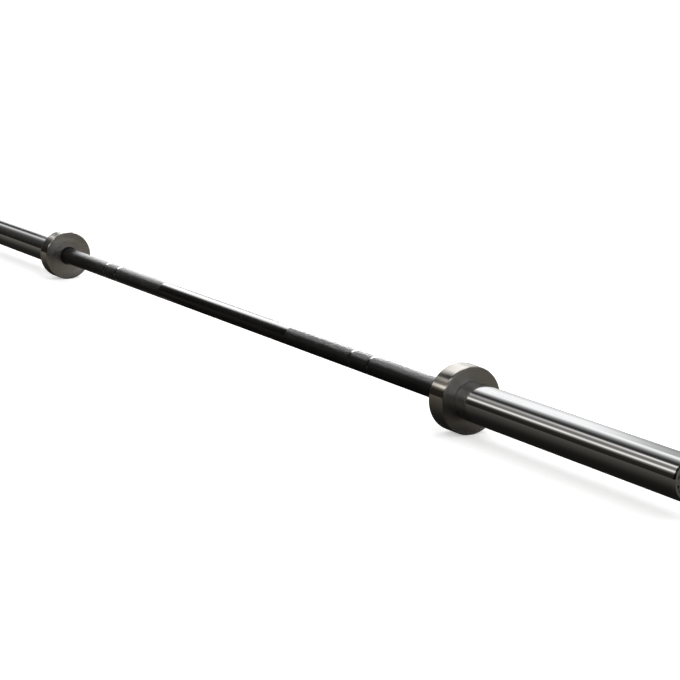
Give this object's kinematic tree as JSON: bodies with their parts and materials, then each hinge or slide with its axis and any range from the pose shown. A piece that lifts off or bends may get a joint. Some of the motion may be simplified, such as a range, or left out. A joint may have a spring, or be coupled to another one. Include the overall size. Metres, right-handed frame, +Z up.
{
  "type": "olympic barbell",
  "caption": "Long straight steel barbell: knurled black grip with a smooth centre, a wide stop collar at each end and smooth chrome sleeves that turn freely to carry plates.",
  "frame": {"origin": "middle of the bar, on its axis", "axes": "+X along the bar to the right-hand sleeve, +Z up"},
  "size_m": [2.2, 0.087, 0.087],
  "materials": {
    "black_steel": "black plating, knurled grip with a glossy smooth centre",
    "chrome": "polished hard chrome",
    "turned_steel": "turned face, satin rim, plated",
    "cap_chrome": "satin chrome",
    "black_seal": "matt black",
    "bronze": "sintered bronze, oiled",
    "bearing_steel": "ground",
    "cage_steel": "pressed",
    "spring_steel": "phosphated"
  },
  "bodies": {
    "shaft": {"shaft": "black_steel", "left_inner_thrust_washer": "bearing_steel", "left_outer_thrust_washer": "bearing_steel", "left_shaft_snap_ring": "spring_steel", "right_inner_thrust_washer": "bearing_steel", "right_outer_thrust_washer": "bearing_steel", "right_shaft_snap_ring": "spring_steel"},
    "left_sleeve": {"left_collar": "turned_steel", "left_sleeve_tube": "chrome", "left_dust_seal": "black_seal", "left_inner_bushing": "bronze", "left_outer_bushing": "bronze", "left_inner_needle_race": "bearing_steel", "left_outer_needle_race": "bearing_steel", "left_end_cap": "cap_chrome", "left_cap_snap_ring": "spring_steel"},
    "left_inner_cage": {"left_inner_needle_cage": "cage_steel", "left_inner_needle_rollers": "bearing_steel"},
    "left_outer_cage": {"left_outer_needle_cage": "cage_steel", "left_outer_needle_rollers": "bearing_steel"},
    "right_sleeve": {"right_collar": "turned_steel", "right_sleeve_tube": "chrome", "right_dust_seal": "black_seal", "right_inner_bushing": "bronze", "right_outer_bushing": "bronze", "right_inner_needle_race": "bearing_steel", "right_outer_needle_race": "bearing_steel", "right_end_cap": "cap_chrome", "right_cap_snap_ring": "spring_steel"},
    "right_inner_cage": {"right_inner_needle_cage": "cage_steel", "right_inner_needle_rollers": "bearing_steel"},
    "right_outer_cage": {"right_outer_needle_cage": "cage_steel", "right_outer_needle_rollers": "bearing_steel"}
  },
  "joints": [
    {"name": "left_sleeve_spin", "type": "hinge", "parent": "shaft", "child": "left_sleeve", "pos_m": [-0.88, 0, 0], "axis": [1, 0, 0], "continuous": true},
    {"name": "left_inner_cage_orbit", "type": "hinge", "parent": "shaft", "child": "left_inner_cage", "pos_m": [-0.7042, 0, 0], "axis": [1, 0, 0], "continuous": true},
    {"name": "left_outer_cage_orbit", "type": "hinge", "parent": "shaft", "child": "left_outer_cage", "pos_m": [-1.0494, 0, 0], "axis": [1, 0, 0], "continuous": true},
    {"name": "right_sleeve_spin", "type": "hinge", "parent": "shaft", "child": "right_sleeve", "pos_m": [0.88, 0, 0], "axis": [1, 0, 0], "continuous": true},
    {"name": "right_inner_cage_orbit", "type": "hinge", "parent": "shaft", "child": "right_inner_cage", "pos_m": [0.7042, 0, 0], "axis": [1, 0, 0], "continuous": true},
    {"name": "right_outer_cage_orbit", "type": "hinge", "parent": "shaft", "child": "right_outer_cage", "pos_m": [1.0494, 0, 0], "axis": [1, 0, 0], "continuous": true}
  ],
  "couplings": [
    {"joint": "left_inner_cage_orbit", "follows": "left_sleeve_spin", "ratio": 0.54512},
    {"joint": "left_outer_cage_orbit", "follows": "left_sleeve_spin", "ratio": 0.54512},
    {"joint": "right_inner_cage_orbit", "follows": "right_sleeve_spin", "ratio": 0.54512},
    {"joint": "right_outer_cage_orbit", "follows": "right_sleeve_spin", "ratio": 0.54512}
  ]
}
